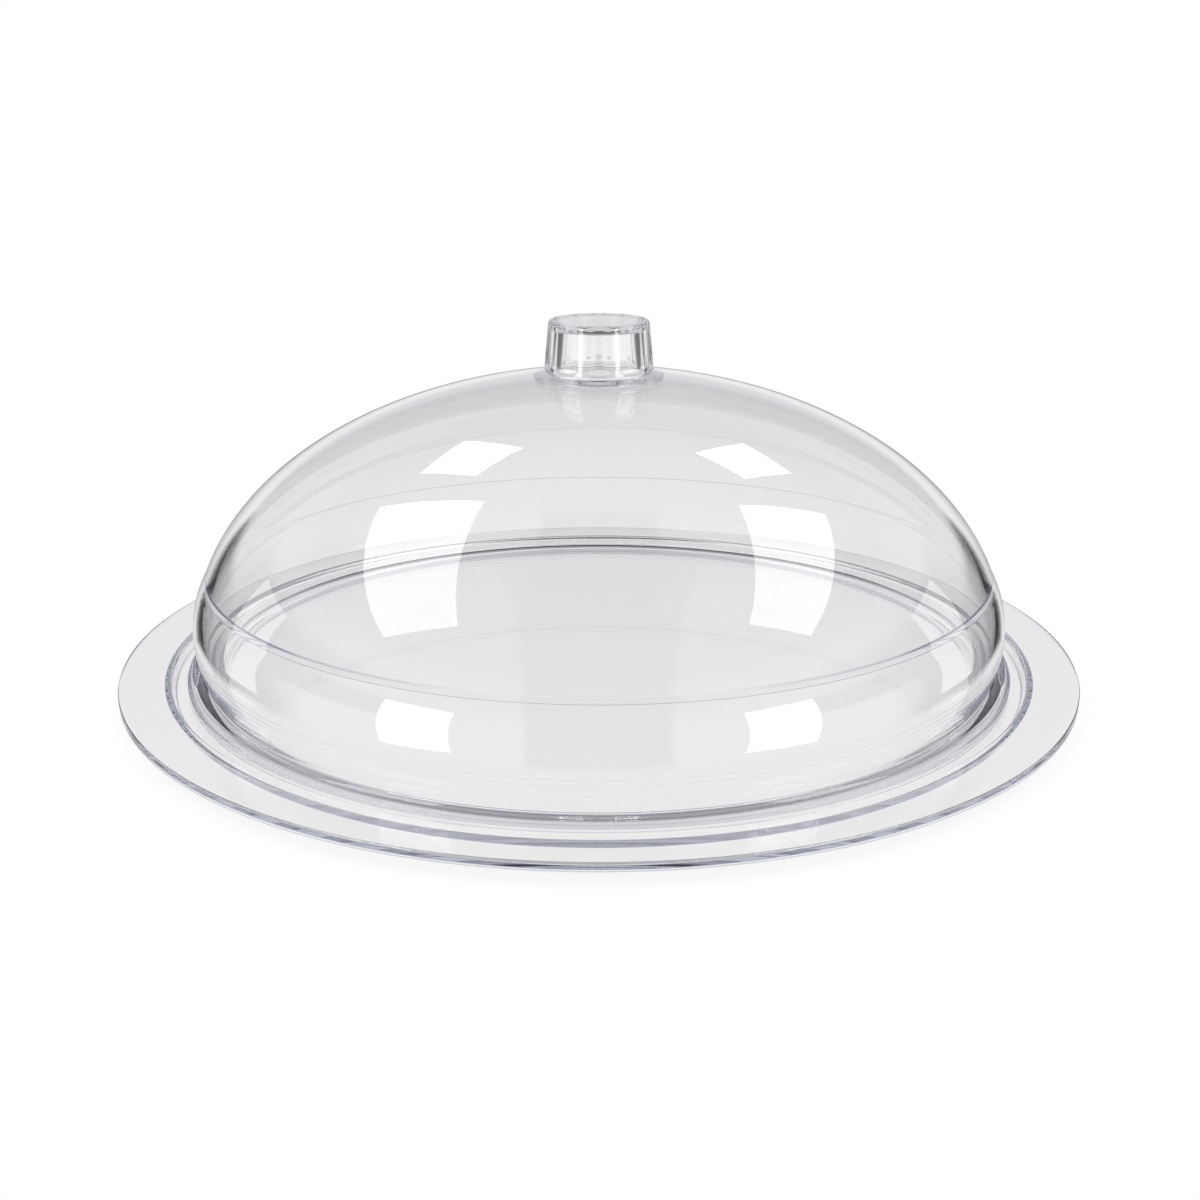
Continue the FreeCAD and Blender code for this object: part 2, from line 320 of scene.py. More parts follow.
@dataclass
class HalfSection:
    """The outline of a turned piece on one side of its axis, from pole to pole."""

    longest_run: float = 12.0 * MM
    support: float = 0.22 * MM
    arc_steps: int = 7
    stops: list[Stop] = field(default_factory=list)

    def corner(self, radius: float, height: float, rounding: float = 0.0) -> None:
        """Go straight to a corner, which may be rounded."""
        self.stops.append(Stop(radius, height, rounding))

    def meet(self, curve: Curve, height: float, rounding: float = 0.0) -> None:
        """Go straight to the point of a curve at a height, a corner that may be rounded."""
        self.corner(curve.radius_at(height), height, rounding)

    def follow(self, curve: Curve, start: float, end: float, steps: int) -> None:
        """Follow a curve between two heights, ends left out.

        Args:
            curve: the curve.
            start: the first height.
            end: the last height.
            steps: how many parts the curve is divided into.
        """
        first, last = curve.angle_at(start), curve.angle_at(end)
        for step in range(1, steps):
            angle = first + (last - first) * step / steps
            radius = curve.centre[0] + curve.across * math.cos(angle)
            self.corner(radius, curve.centre[1] + curve.rise * math.sin(angle))

    def bend(self, start: Point, knee: Point, end: Point) -> None:
        """Ease from one point to another, ends included.

        Args:
            start: the first point.
            knee: where the lines along which the curve leaves and arrives would meet.
            end: the last point.
        """
        for step in range(self.arc_steps + 1):
            share = step / self.arc_steps
            lead, tail = Vector(start).lerp(Vector(knee), share), Vector(knee).lerp(Vector(end), share)
            self.corner(*lead.lerp(tail, share))

    def rounded(self, index: int) -> list[Vector]:
        """Points that take the place of one corner.

        Args:
            index: the corner's place in the outline.

        Returns:
            The corner itself, or its arc with a close ring on either side that keeps the shading crisp.
        """
        stop = self.stops[index]
        point = Vector((stop.radius, stop.height))
        if stop.rounding <= 0.0:
            return [point]
        before, after = self.stops[index - 1], self.stops[index + 1]
        back = Vector((before.radius, before.height)) - point
        on = Vector((after.radius, after.height)) - point
        room = 0.5 * min(back.length, on.length)
        back.normalize()
        on.normalize()
        half = 0.5 * back.angle(on)
        reach = min(stop.rounding / math.tan(half), room)
        rounding = reach * math.tan(half)
        centre = point + (back + on).normalized() * (rounding / math.sin(half))
        first = point + back * reach - centre
        sweep = math.pi - 2.0 * half
        turn = math.copysign(1.0, first.x * on.y - first.y * on.x)
        margin = min(self.support, 0.5 * (2.0 * room - reach))
        points = [point + back * (reach + margin)] if margin > 0.0 else []
        for step in range(self.arc_steps + 1):
            angle = turn * sweep * step / self.arc_steps
            points.append(centre + Matrix.Rotation(angle, 2) @ first)
        if margin > 0.0:
            points.append(point + on * (reach + margin))
        return points

    def outline(self) -> list[Vector]:
        """The whole outline.

        Returns:
            Points as (radius, height), with long straight runs divided.
        """
        corners = [p for index in range(len(self.stops)) for p in self.rounded(index)]
        points = corners[:1]
        for corner in corners[1:]:
            start = points[-1]
            parts = max(1, math.ceil((corner - start).length / self.longest_run))
            points.extend(start.lerp(corner, part / parts) for part in range(1, parts + 1))
        return points


class GeometryTree(ABC):
    """A Geometry Nodes tree with named inputs, run on a piece and then turned into its plain mesh."""

    name: str = "geometry"

    def __init__(self) -> None:
        """Make the tree and wire it up."""
        self.tree = bpy.data.node_groups.new(self.name, "GeometryNodeTree")
        self.bench = NodeBench(self.tree)
        self.identifiers: dict[str, str] = {}
        self.tree.interface.new_socket("Geometry", in_out="INPUT", socket_type="NodeSocketGeometry")
        self.tree.interface.new_socket("Geometry", in_out="OUTPUT", socket_type="NodeSocketGeometry")
        self.source = self.bench.add("NodeGroupInput")
        finish = self.named("Finish", Input.FINISH)
        realize = self.bench.add("GeometryNodeRealizeInstances")
        paint = self.bench.add("GeometryNodeSetMaterial")
        output = self.bench.add("NodeGroupOutput")
        self.bench.feed(realize.inputs[0], self.wire(self.source.outputs[0]))
        self.bench.feed(paint.inputs["Geometry"], realize.outputs[0])
        self.bench.feed(paint.inputs["Material"], finish)
        self.bench.feed(output.inputs[0], paint.outputs[0])

    def named(self, name: str, kind: Input) -> bpy.types.NodeSocket:
        """Add a named input.

        Args:
            name: the input's name.
            kind: what it takes.

        Returns:
            The socket that gives it inside the tree.
        """
        socket = self.tree.interface.new_socket(name, in_out="INPUT", socket_type=kind.value)
        self.identifiers[name] = socket.identifier
        return self.source.outputs[name]

    def run(self, piece: bpy.types.Object, **values: object) -> None:
        """Put the tree on a piece.

        Args:
            piece: the object that takes the modifier.
            **values: the inputs, with _ for each space in a name.
        """
        modifier = piece.modifiers.new(self.name, "NODES")
        modifier.node_group = self.tree
        for name, value in values.items():
            modifier[self.identifiers[name.replace("_", " ")]] = value

    @abstractmethod
    def wire(self, geometry: bpy.types.NodeSocket) -> bpy.types.NodeSocket:
        """Wire the tree's own rule from what comes in to what goes out."""


class TurningTree(GeometryTree):
    """Turns a half-section, given as points in order, about the upright axis."""

    name = "turned_section"

    def wire(self, geometry: bpy.types.NodeSocket) -> bpy.types.NodeSocket:
        """Lay a grid of section points by steps round, and roll it up.

        Args:
            geometry: the half-section's points.

        Returns:
            The closed, smooth turned mesh.
        """
        bench = self.bench
        steps = self.named("Steps round", Input.COUNT)
        weld = self.named("Weld", Input.LENGTH)
        count = bench.add("GeometryNodeAttributeDomainSize")
        bench.feed(count.inputs[0], geometry)
        row = bench.calc("ADD", steps, 1.0)
        grid = bench.add("GeometryNodeMeshGrid")
        bench.feed(grid.inputs["Vertices X"], count.outputs["Point Count"])
        bench.feed(grid.inputs["Vertices Y"], row)
        index = bench.add("GeometryNodeInputIndex").outputs[0]
        ring = bench.calc("FLOOR", bench.calc("DIVIDE", bench.calc("ADD", index, 0.5), row))
        step = bench.calc("SUBTRACT", index, bench.calc("MULTIPLY", ring, row))
        angle = bench.calc("MULTIPLY", bench.calc("DIVIDE", step, steps), FULL_TURN)
        sample = bench.add("GeometryNodeSampleIndex", data_type="FLOAT_VECTOR", domain="POINT")
        bench.feed(sample.inputs["Geometry"], geometry)
        bench.feed(sample.inputs["Value"], bench.add("GeometryNodeInputPosition").outputs[0])
        bench.feed(sample.inputs["Index"], ring)
        turned = bench.add("ShaderNodeVectorRotate", rotation_type="Z_AXIS")
        bench.feed(turned.inputs["Vector"], sample.outputs[0])
        bench.feed(turned.inputs["Angle"], angle)
        rolled = bench.add("GeometryNodeSetPosition")
        bench.feed(rolled.inputs["Geometry"], grid.outputs["Mesh"])
        bench.feed(rolled.inputs["Position"], turned.outputs[0])
        closed = bench.add("GeometryNodeMergeByDistance")
        bench.feed(closed.inputs["Geometry"], rolled.outputs[0])
        bench.feed(closed.inputs["Distance"], weld)
        smooth = bench.add("GeometryNodeSetShadeSmooth")
        bench.feed(smooth.inputs["Geometry"], closed.outputs[0])
        return smooth.outputs[0]


class FluteTree(GeometryTree):
    """Presses upright flutes into a tapered round side, each with a rounded foot."""

    name = "upright_flutes"

    def wire(self, geometry: bpy.types.NodeSocket) -> bpy.types.NodeSocket:
        """Hold each point inside the fluted side.

        Args:
            geometry: the turned mesh.

        Returns:
            The fluted mesh.
        """
        bench = self.bench
        flutes = self.named("Flutes", Input.COUNT)
        share = self.named("Flute share", Input.LENGTH)
        depth = self.named("Flute depth", Input.LENGTH)
        foot = self.named("Foot height", Input.LENGTH)
        foot_rise = self.named("Foot rise", Input.LENGTH)
        side = self.named("Side radius", Input.LENGTH)
        lean = self.named("Side lean", Input.LENGTH)
        position = bench.add("GeometryNodeInputPosition").outputs[0]
        parts = bench.add("ShaderNodeSeparateXYZ")
        bench.feed(parts.inputs[0], position)
        across, along, height = parts.outputs
        square = bench.calc("ADD", bench.calc("POWER", across, 2.0), bench.calc("POWER", along, 2.0))
        radius = bench.calc("SQRT", square)
        turn = bench.calc("DIVIDE", bench.calc("ARCTAN2", across, along), FULL_TURN)
        counted = bench.calc("ADD", bench.calc("MULTIPLY", turn, flutes), 0.5)
        place = bench.calc("SUBTRACT", bench.calc("FRACT", counted), 0.5)
        spread = bench.calc("DIVIDE", bench.calc("MULTIPLY", place, 2.0), share)
        bowl = bench.calc("MAXIMUM", bench.calc("SUBTRACT", 1.0, bench.calc("POWER", spread, 2.0)), 0.0)
        hollow = bench.calc("POWER", bowl, 2.0)
        above = bench.calc("SUBTRACT", height, foot)
        started = bench.calc("MAXIMUM", bench.calc("DIVIDE", above, foot_rise), 0.0)
        climb = bench.calc("MINIMUM", started, 1.0)
        left = bench.calc("POWER", bench.calc("SUBTRACT", 1.0, climb), 2.0)
        rise = bench.calc("SQRT", bench.calc("SUBTRACT", 1.0, left))
        cut = bench.calc("MULTIPLY", bench.calc("MULTIPLY", hollow, rise), depth)
        wall = bench.calc("SUBTRACT", side, bench.calc("MULTIPLY", above, lean))
        room = bench.calc("SUBTRACT", wall, cut)
        limit = bench.calc("DIVIDE", room, bench.calc("MAXIMUM", radius, MM))
        held = bench.calc("MINIMUM", limit, 1.0)
        fluted = bench.calc("GREATER_THAN", above, 0.0)
        scale = bench.calc("ADD", 1.0, bench.calc("MULTIPLY", fluted, bench.calc("SUBTRACT", held, 1.0)))
        shrink = bench.add("ShaderNodeCombineXYZ")
        bench.feed(shrink.inputs[0], scale)
        bench.feed(shrink.inputs[1], scale)
        shrink.inputs[2].default_value = 1.0
        moved = bench.add("ShaderNodeVectorMath", operation="MULTIPLY")
        bench.feed(moved.inputs[0], position)
        bench.feed(moved.inputs[1], shrink.outputs[0])
        pressed = bench.add("GeometryNodeSetPosition")
        bench.feed(pressed.inputs["Geometry"], geometry)
        bench.feed(pressed.inputs["Position"], moved.outputs[0])
        return pressed.outputs[0]


@dataclass
class TurnedPiece(ABC):
    """A moulded piece that is round about the upright axis and stands for one solid of the model."""

    name: str
    node: str
    body: Body
    slot: Slot
    finish: ClearPlastic
    steps_round: int = 384
    weld: float = 0.001 * MM

    @abstractmethod
    def section(self) -> HalfSection:
        """The piece's half-section."""

    def shape(self, piece: bpy.types.Object, material: bpy.types.Material) -> None:
        """Put the piece's geometry trees on its half-section, in order."""
        TurningTree().run(piece, Steps_round=self.steps_round, Weld=self.weld, Finish=material)

    def build(self) -> bpy.types.Object:
        """Build the piece and turn it into a plain closed mesh.

        Returns:
            The new object, at the origin.
        """
        points = [(p.x, 0.0, p.y) for p in self.section().outline()]
        draft = bpy.data.meshes.new(f"{self.name}_section")
        draft.from_pydata(points, [(i, i + 1) for i in range(len(points) - 1)], [])
        piece = bpy.data.objects.new(self.name, draft)
        bpy.context.scene.collection.objects.link(piece)
        self.shape(piece, self.finish.material())
        depsgraph = bpy.context.evaluated_depsgraph_get()
        mesh = bpy.data.meshes.new_from_object(piece.evaluated_get(depsgraph))
        piece.modifiers.clear()
        piece.data = mesh
        mesh.name = self.name
        bpy.data.meshes.remove(draft)
        self.close(mesh)
        return piece

    def close(self, mesh: bpy.types.Mesh) -> None:
        """Merge doubles and turn every face outwards.

        Args:
            mesh: the mesh to close.
        """
        work = bmesh.new()
        work.from_mesh(mesh)
        bmesh.ops.remove_doubles(work, verts=work.verts, dist=self.weld)
        bmesh.ops.recalc_face_normals(work, faces=work.faces)
        work.to_mesh(mesh)
        work.free()

    def dress(self, piece: bpy.types.Object) -> None:
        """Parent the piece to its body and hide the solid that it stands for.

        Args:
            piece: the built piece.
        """
        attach(piece, self.body.value)
        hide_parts(self.node)


@dataclass
class Tray(TurnedPiece):
    """The round tray: a flat floor, a shallow drafted well and a flat rim with slightly eased edges."""

    wall: float = 3.2 * MM
    well_radius: float = 159.8 * MM
    well_draft: float = 1.9 * MM
    well_depth: float = 3.8 * MM
    rim_width: float = 18.3 * MM
    rim_rounding: float = 0.48 * MM
    lip_rounding: float = 1.2 * MM
    corner_rounding: float = 0.8 * MM
    haunch_rounding: float = 0.3 * MM

    def section(self) -> HalfSection:
        """The tray from the middle of its underside to the middle of its floor.

        Returns:
            The half-section.
        """
        lip = self.well_radius + self.well_draft
        edge = lip + self.rim_width
        rim_top = self.well_depth + self.wall
        lean = self.well_draft / self.well_depth
        shift = self.wall * math.hypot(1.0, lean) - self.wall * lean
        foot = self.well_radius + shift
        half = HalfSection()
        half.corner(0.0, 0.0)
        half.corner(foot, 0.0, self.corner_rounding)
        half.corner(foot + self.well_draft, self.well_depth, self.haunch_rounding)
        half.corner(edge, self.well_depth, self.rim_rounding)
        half.corner(edge, rim_top, self.rim_rounding)
        half.corner(lip, rim_top, self.lip_rounding)
        half.corner(self.well_radius, self.wall, self.corner_rounding)
        half.corner(0.0, self.wall)
        return half


@dataclass
class DomeCover(TurnedPiece):
    """The domed cover: an elliptical crown, two small ledges inside, a barrel band and a flat flange."""

    seat: float = 3.2 * MM
    seat_gap: float = 0.05 * MM
    crown: Curve = CROWN
    crown_wall: float = 4.4 * MM
    ledge_top: float = 41.8 * MM
    ledge_rise: float = 2.0 * MM
    ledge_slope: float = 0.5 * MM
    ledge_rounding: float = 0.2 * MM
    land_wall: float = 3.6 * MM
    land_rounding: float = 0.1 * MM
    shoulder_reach: float = 1.6 * MM
    band_radius: float = 152.4 * MM
    band_height: float = 23.6 * MM
    band_wall: float = 3.4 * MM
    flange_radius: float = 155.7 * MM
    flange_thickness: float = 3.0 * MM
    flange_rounding: float = 0.36 * MM
    heel_rounding: float = 0.4 * MM
    crown_steps: int = 46
    band_steps: int = 14

    def section(self) -> HalfSection:
        """The cover from the top of its crown, over the foot, to the underside of the crown.

        Returns:
            The half-section.
        """
        foot, flange_top = self.seat + self.seat_gap, self.seat + self.flange_thickness
        ledge, ledge_foot = self.ledge_top, self.ledge_top - self.ledge_rise
        eased_top, eased_foot = ledge + self.shoulder_reach, ledge - self.shoulder_reach
        crown, band = self.crown, self.band()
        land, lining = band.grown(-self.land_wall), band.grown(-self.band_wall)
        ceiling = crown.grown(-self.crown_wall)
        half = HalfSection()
        half.corner(0.0, crown.top)
        half.follow(crown, crown.top, eased_top, self.crown_steps)
        half.bend(
            (crown.radius_at(eased_top), eased_top),
            (crown.radius_at(ledge), ledge),
            (band.radius_at(eased_foot), eased_foot),
        )
        half.follow(band, eased_foot, flange_top, self.band_steps)
        half.meet(band, flange_top, self.flange_rounding)
        half.corner(self.flange_radius, flange_top, self.flange_rounding)
        half.corner(self.flange_radius, foot, self.flange_rounding)
        half.meet(lining, foot, self.heel_rounding)
        half.follow(lining, foot, ledge_foot, self.band_steps)
        half.meet(lining, ledge_foot, self.land_rounding)
        half.meet(land, ledge_foot, self.land_rounding)
        half.meet(land, ledge - self.ledge_slope, self.ledge_rounding)
        half.meet(ceiling, ledge, self.ledge_rounding)
        half.follow(ceiling, ledge, ceiling.top, self.crown_steps)
        half.corner(0.0, ceiling.top)
        return half

    def band(self) -> Curve:
        """The band's outer side: a circle from the crown's foot, widest at the band's height.

        Returns:
            The circle.
        """
        swell = self.band_radius - self.crown.radius_at(self.ledge_top)
        climb = self.ledge_top - self.band_height
        radius = (swell * swell + climb * climb) / (2.0 * swell)
        return Curve((self.band_radius - radius, self.band_height), radius, radius)


@dataclass
class Knob(TurnedPiece):
    """The hollow finger knob: a tapered fluted cup with a thin flange that follows the crown."""

    crown: Curve = CROWN
    bond_gap: float = 0.05 * MM
    base_radius: float = 20.2 * MM
    top_radius: float = 18.5 * MM
    height: float = 19.7 * MM
    wall: float = 3.0 * MM
    top_wall: float = 3.0 * MM
    top_rounding: float = 0.9 * MM
    flange_reach: float = 3.8 * MM
    flange_thickness: float = 0.9 * MM
    foot_rounding: float = 1.6 * MM
    bore_rounding: float = 0.8 * MM
    hem_rounding: float = 0.25 * MM
    flutes: int = 10
    flute_share: float = 0.85
    flute_depth: float = 0.8 * MM
    flute_foot: float = 2.6 * MM
    flute_foot_rise: float = 1.2 * MM
    foot_rings: int = 8
    longest_run: float = 2.0 * MM
    support: float = 0.1 * MM

    @property
    def side_foot(self) -> float:
        """The height where the tapered side starts, on the flange."""
        return self.crown.top + self.flange_thickness

    @property
    def side_lean(self) -> float:
        """How far the side draws in for each unit of height."""
        return (self.base_radius - self.top_radius) / (self.height - self.flange_thickness)

    def section(self) -> HalfSection:
        """The knob from the middle of its top, over the flange, to the middle of its ceiling.

        Returns:
            The half-section.
        """
        top = self.crown.top + self.height
        ceiling = top - self.top_wall
        seat = self.crown.grown(self.bond_gap)
        hem = self.base_radius + self.flange_reach
        mouth = self.base_radius - self.wall
        half = HalfSection(self.longest_run, self.support)
        half.corner(0.0, top)
        half.corner(self.top_radius, top, self.top_rounding)
        for ring in range(self.foot_rings, -1, -1):
            above = self.flute_foot + self.flute_foot_rise * ring / self.foot_rings
            half.corner(self.base_radius - self.side_lean * above, self.side_foot + above)
        half.corner(self.base_radius, self.side_foot, self.foot_rounding)
        half.corner(hem, seat.height_at(hem) + self.flange_thickness, self.hem_rounding)
        half.corner(hem, seat.height_at(hem), self.hem_rounding)
        half.corner(mouth, seat.height_at(mouth), self.hem_rounding)
        half.corner(self.top_radius - self.wall, ceiling, self.bore_rounding)
        half.corner(0.0, ceiling)
        return half

    def shape(self, piece: bpy.types.Object, material: bpy.types.Material) -> None:
        """Turn the knob, then press its flutes.

        Args:
            piece: the half-section's object.
            material: the knob's finish.
        """
        super().shape(piece, material)
        FluteTree().run(
            piece,
            Flutes=self.flutes,
            Flute_share=self.flute_share,
            Flute_depth=self.flute_depth,
            Foot_height=self.side_foot + self.flute_foot,
            Foot_rise=self.flute_foot_rise,
            Side_radius=self.base_radius - self.side_lean * self.flute_foot,
            Side_lean=self.side_lean,
            Finish=material,
        )


@dataclass(frozen=True)
class PhotoCamera:
    """The camera at the photograph's viewing angle."""

    aside: float = 0.4 * MM
    distance: float = 562.4 * MM
    height: float = 210.3 * MM
    pitch: float = math.radians(18.2552)
    lens_mm: float = 45.93
    sensor_mm: float = 36.0
    clip: Point = (0.01, 100.0)

    def place(self) -> bpy.types.Object:
        """Make the camera and set it as the scene's own.

        Returns:
            The camera object.
        """
        data = bpy.data.cameras.new("photo_camera")
        data.lens, data.sensor_width = self.lens_mm, self.sensor_mm
        data.clip_start, data.clip_end = self.clip
        camera = bpy.data.objects.new("photo_camera", data)
        camera.location = (self.aside, -self.distance, self.height)
        camera.rotation_euler = (math.pi / 2 - self.pitch, 0.0, 0.0)
        bpy.context.scene.collection.objects.link(camera)
        bpy.context.scene.camera = camera
        return camera


@dataclass(frozen=True)
class SoftBox:
    """A rectangular soft lamp that faces a point near the object.

    run is the direction that its length lies along, and radiance is how bright its face is.
    """

    name: str
    centre: Place
    run: Place
    width: float
    length: float
    radiance: float
    aim: Place = (0.0, -0.06, 0.06)

    @classmethod
    def pair(
        cls, name: str, centre: Place, size: Point, radiance: float, aim: Place
    ) -> tuple["SoftBox", "SoftBox"]:
        """Two upright lamps, mirrored left and right.

        Args:
            name: what both are called before their side.
            centre: the right lamp's centre.
            size: the width and the length.
            radiance: how bright each is.
            aim: the point that the right lamp faces.

        Returns:
            The left lamp and the right one.
        """
        left, left_aim = (-centre[0], *centre[1:]), (-aim[0], *aim[1:])
        return (
            cls(f"{name}_left", left, UP, *size, radiance, left_aim),
            cls(f"{name}_right", centre, UP, *size, radiance, aim),
        )

    def place(self) -> bpy.types.Object:
        """Make the lamp, seen by mirrored rays but not by the camera or straight through the plastic.

        Returns:
            The lamp object.
        """
        data = bpy.data.lights.new(self.name, "AREA")
        data.shape = "RECTANGLE"
        data.size, data.size_y = self.width, self.length
        data.energy = self.radiance * math.pi * self.width * self.length
        back = (Vector(self.centre) - Vector(self.aim)).normalized()
        across = Vector(self.run).cross(back).normalized()
        along = back.cross(across)
        lamp = bpy.data.objects.new(self.name, data)
        turned = Matrix((across, along, back)).transposed().to_4x4()
        lamp.matrix_world = Matrix.Translation(self.centre) @ turned
        lamp.visible_camera = False
        lamp.visible_transmission = False
        bpy.context.scene.collection.objects.link(lamp)
        return lamp


@dataclass(frozen=True)
class Gaze:
    """What the surround reads of a direction in the studio, each as a socket.

    aside and height are sines, toward is 1 on the photographed side (-Y) and 0 on the other, and front
    is how light the photographed side is.
    """

    aside: bpy.types.NodeSocket
    height: bpy.types.NodeSocket
    toward: bpy.types.NodeSocket
    front: bpy.types.NodeSocket


@dataclass(frozen=True)
class Surround:
    """The studio as the plastic sees it: dim walls over a low pale screen with dark sides.

    Pairs of angles, in degrees, say where a change starts and ends. Levels are brightness.
    """

    wall_colours: tuple[tuple[float, Colour], ...] = (
        (0.0, (0.72, 0.715, 0.74, 1.0)),
        (12.0, (0.68, 0.675, 0.70, 1.0)),
        (26.0, (0.58, 0.575, 0.61, 1.0)),
        (35.0, (0.34, 0.335, 0.36, 1.0)),
        (90.0, (0.24, 0.235, 0.26, 1.0)),
    )
    flag_side: Point = (44.0, 54.0)
    flag_top: Point = (14.0, 22.0)
    flag_level: float = 0.25
    screen_level: float = 0.86
    screen_top: Point = (3.0, 5.0)
    screen_side: Point = (30.0, 32.0)
    dark_level: float = 0.03
    wing_level: float = 0.12
    wing_side: Point = (53.0, 72.0)
    opening_top: Point = (-10.0, -2.0)
    opening_side: Point = (8.0, 30.0)
    opening_level: float = 0.2
    front_side: Point = (17.5, 19.5)
    front_levels: Point = (0.3, 1.5)
    front_turn: Point = (-8.0, 8.0)
    front_floor: float = 0.7

    def paint(self) -> None:
        """Give the scene its world, which is plain white where the camera sees it directly."""
        world = bpy.data.worlds.new("studio_surround")
        world.use_nodes = True
        bpy.context.scene.world = world
        bench = NodeBench(world.node_tree)
        parts = bench.add("ShaderNodeSeparateXYZ")
        bench.feed(parts.inputs[0], bench.add("ShaderNodeTexCoord").outputs["Generated"])
        aside = bench.calc("ABSOLUTE", parts.outputs[0])
        toward = self.fade(bench, parts.outputs[1], self.front_turn, (1.0, 0.0))
        front = self.fade(bench, aside, self.front_side, self.front_levels)
        gaze = Gaze(aside, parts.outputs[2], toward, front)
        over = self.fade(bench, gaze.height, self.screen_top, (0.0, 1.0))
        studio = bench.mixed(over, self.screen(bench, gaze), self.walls(bench, gaze))
        backdrop = bench.add("ShaderNodeBackground")
        backdrop.inputs["Color"].default_value = WHITE
        surface = bench.mixed(bench.any_ray(Ray.CAMERA), studio, backdrop.outputs[0])
        bench.feed(bench.add("ShaderNodeOutputWorld").inputs["Surface"], surface)

    def walls(self, bench: NodeBench, gaze: Gaze) -> bpy.types.NodeSocket:
        """Walls that darken upwards, with dark flags low at the sides and a dim gap at the front.

        Args:
            bench: the world's nodes.
            gaze: what is read of the direction.

        Returns:
            The walls' shader socket.
        """
        ramp = bench.add("ShaderNodeValToRGB")
        bench.feed(ramp.inputs["Fac"], gaze.height)
        stops = ramp.color_ramp.elements
        while len(stops) < len(self.wall_colours):
            stops.new(0.5)
        for stop, (angle, colour) in zip(stops, self.wall_colours):
            stop.position = math.sin(math.radians(angle))
            stop.color = colour
        flags = self.fade(bench, gaze.aside, self.flag_side, (1.0, self.flag_level))
        above = self.fade(bench, gaze.height, self.flag_top, (0.0, 1.0))
        flagged = bench.calc("MAXIMUM", flags, above)
        facing = bench.calc("MULTIPLY_ADD", gaze.toward, bench.calc("SUBTRACT", gaze.front, 1.0), 1.0)
        walls = bench.add("ShaderNodeBackground")
        bench.feed(walls.inputs["Color"], ramp.outputs["Color"])
        bench.feed(walls.inputs["Strength"], bench.calc("MULTIPLY", flagged, facing))
        return walls.outputs[0]

    def screen(self, bench: NodeBench, gaze: Gaze) -> bpy.types.NodeSocket:
        """A low screen behind the object with dark sides and a soft dark opening, and a pale front.

        Args:
            bench: the world's nodes.
            gaze: what is read of the direction.

        Returns:
            The screen's shader socket.
        """
        middle = self.fade(bench, gaze.aside, self.screen_side, (self.screen_level, self.dark_level))
        wings = self.fade(bench, gaze.aside, self.wing_side, (0.0, self.wing_level))
        low = self.fade(bench, gaze.height, self.opening_top, (1.0, 0.0))
        narrow = self.fade(bench, gaze.aside, self.opening_side, (1.0, 0.0))
        closed = bench.calc("SUBTRACT", 1.0, bench.calc("MULTIPLY", low, narrow))
        lit = bench.calc("MAXIMUM", closed, self.opening_level)
        rear = bench.calc("MULTIPLY", bench.calc("ADD", middle, wings), lit)
        change = bench.calc("SUBTRACT", bench.calc("MULTIPLY", gaze.front, self.front_floor), rear)
        screen = bench.add("ShaderNodeBackground")
        screen.inputs["Color"].default_value = WHITE
        bench.feed(screen.inputs["Strength"], bench.calc("MULTIPLY_ADD", gaze.toward, change, rear))
        return screen.outputs[0]

    @staticmethod
    def fade(bench: NodeBench, part: Term, angles: Point, levels: Point) -> bpy.types.NodeSocket:
        """Go from one level to another between two angles of view.

        Args:
            bench: the world's nodes.
            part: the part of the direction to read, as a sine.
            angles: where the change starts and ends, in degrees.
            levels: the level before it and after it.

        Returns:
            The level's socket.
        """
        start, end = (math.sin(math.radians(angle)) for angle in angles)
        return bench.ramp(part, (start, levels[0]), (end, levels[1]))


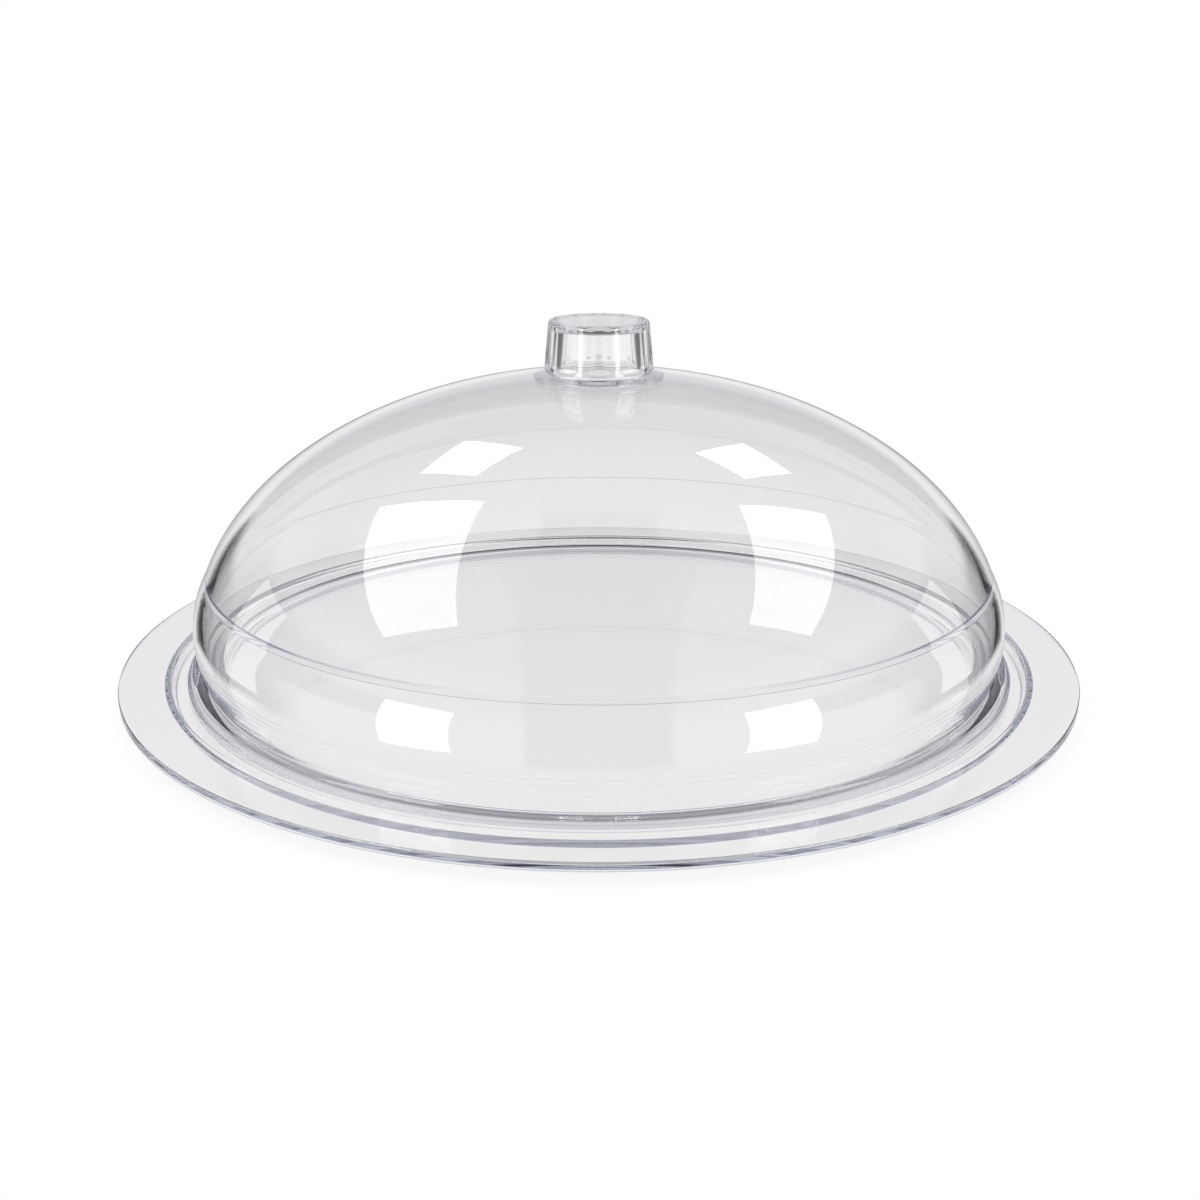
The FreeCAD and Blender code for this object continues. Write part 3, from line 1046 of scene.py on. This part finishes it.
@dataclass
class Studio:
    """A white floor in a dim studio with soft lamps to the left and right.

    floor_glow is how light the floor is through the plastic, and shadow_share is how much of the
    object's shadow the camera sees between the two radii of shadow_reach.
    """

    floor_radius: float = 20.0
    floor_steps: int = 96
    floor_drop: float = 0.3 * MM
    floor_colour: Colour = (0.95, 0.95, 0.95, 1.0)
    floor_glow: float = 0.9
    shadow_share: float = 0.25
    shadow_reach: Point = (0.185, 0.32)
    table_radius: float = 0.19
    all_bounces: int = 72
    plastic_bounces: int = 64
    clear_bounces: int = 32
    surround: Surround = Surround()
    lamps: tuple[SoftBox, ...] = (
        SoftBox("softbox_left", (-0.585, -0.055, 0.797), (0.30, 0.94, 0.14), 0.36, 0.87, 5.0),
        SoftBox("softbox_right", (0.609, -0.055, 0.780), (-0.26, 0.96, 0.13), 0.30, 0.82, 5.0),
        SoftBox("panel_left", (-0.291, 0.507, 0.739), (0.72, 0.63, -0.29), 0.172, 0.187, 5.0),
        SoftBox("panel_right", (0.328, 0.509, 0.724), (-0.81, 0.56, -0.16), 0.166, 0.171, 5.0),
        *SoftBox.pair("card", (0.579, -0.604, 0.032), (0.27, 0.50), 7.0, (0.055, -0.14, 0.03)),
        *SoftBox.pair("strip", (0.92, 0.20, 0.08), (0.27, 0.54), 2.0, (0.15, 0.0, 0.03)),
    )

    def place(self) -> None:
        """Build the floor, the surround and the lamps, and set how far light is followed."""
        self.floor()
        self.surround.paint()
        for lamp in self.lamps:
            lamp.place()
        cycles = bpy.context.scene.cycles
        cycles.max_bounces = self.all_bounces
        cycles.transmission_bounces = self.plastic_bounces
        cycles.glossy_bounces = self.plastic_bounces
        cycles.transparent_max_bounces = self.clear_bounces
        cycles.caustics_reflective = False
        cycles.caustics_refractive = False
        bpy.context.scene.view_settings.view_transform = "Standard"

    def floor(self) -> bpy.types.Object:
        """A wide flat disc just under the tray.

        Returns:
            The floor object.
        """
        work = bmesh.new()
        bmesh.ops.create_circle(work, cap_ends=True, segments=self.floor_steps, radius=self.floor_radius)
        bmesh.ops.translate(work, verts=work.verts, vec=(0.0, 0.0, -self.floor_drop))
        mesh = bpy.data.meshes.new("studio_floor")
        work.to_mesh(mesh)
        work.free()
        mesh.materials.append(self.floor_material())
        floor = bpy.data.objects.new("studio_floor", mesh)
        bpy.context.scene.collection.objects.link(floor)
        return floor

    def floor_material(self) -> bpy.types.Material:
        """White to the eye and through the plastic, with the object's soft shadow close to it.

        Rays that the plastic has mirrored pass through it beyond the table and see the surround.

        Returns:
            A new material.
        """
        material = bpy.data.materials.new("studio_floor")
        material.use_nodes = True
        bench = NodeBench(material.node_tree)
        matt = bench.add("ShaderNodeBsdfDiffuse")
        matt.inputs["Color"].default_value = self.floor_colour
        white = bench.add("ShaderNodeEmission")
        white.inputs["Color"].default_value = WHITE
        span = bench.add("ShaderNodeVectorMath", operation="LENGTH")
        bench.feed(span.inputs[0], bench.add("ShaderNodeTexCoord").outputs["Object"])
        reach = span.outputs["Value"]
        direct = bench.any_ray(Ray.CAMERA)
        bench.feed(white.inputs["Strength"], bench.calc("MAXIMUM", direct, self.floor_glow))
        near, far = self.shadow_reach
        clean = bench.ramp(reach, (near, 1.0 - self.shadow_share), (far, 1.0), smooth=True)
        inside = bench.any_ray(Ray.GLOSSY, Ray.TRANSMISSION)
        share = bench.calc("MAXIMUM", bench.calc("MULTIPLY", direct, clean), inside)
        table = bench.mixed(share, matt.outputs[0], white.outputs[0])
        mirrored = bench.calc("MINIMUM", bench.add("ShaderNodeLightPath").outputs["Glossy Depth"], 1.0)
        past = bench.calc("MULTIPLY", mirrored, bench.calc("GREATER_THAN", reach, self.table_radius))
        studio = bench.add("ShaderNodeBsdfTransparent")
        output = bench.add("ShaderNodeOutputMaterial")
        bench.feed(output.inputs["Surface"], bench.mixed(past, table, studio.outputs[0]))
        return material


def main() -> None:
    """Build the camera, the studio and the three pieces, in that order."""
    logging.basicConfig(level=logging.INFO, format="%(name)s: %(message)s")
    PhotoCamera().place()
    Studio().place()
    tray_plastic = ClearPlastic("clear_tray_plastic")
    cover_plastic = ClearPlastic("clear_cover_plastic")
    knob_plastic = ClearPlastic("clear_knob_plastic")
    pieces = (
        Tray("tray_moulding", "tray", Body.TRAY, Slot.TRAY, tray_plastic),
        DomeCover("dome_moulding", "dome_cover", Body.COVER, Slot.COVER, cover_plastic),
        Knob("knob_moulding", "knob", Body.COVER, Slot.KNOB, knob_plastic, steps_round=320),
    )
    for maker in pieces:
        piece = maker.build()
        maker.dress(piece)
        LOG.info("%s: %d faces, rides on %s", piece.name, len(piece.data.polygons), maker.body.value)


if __name__ == "__main__":
    main()
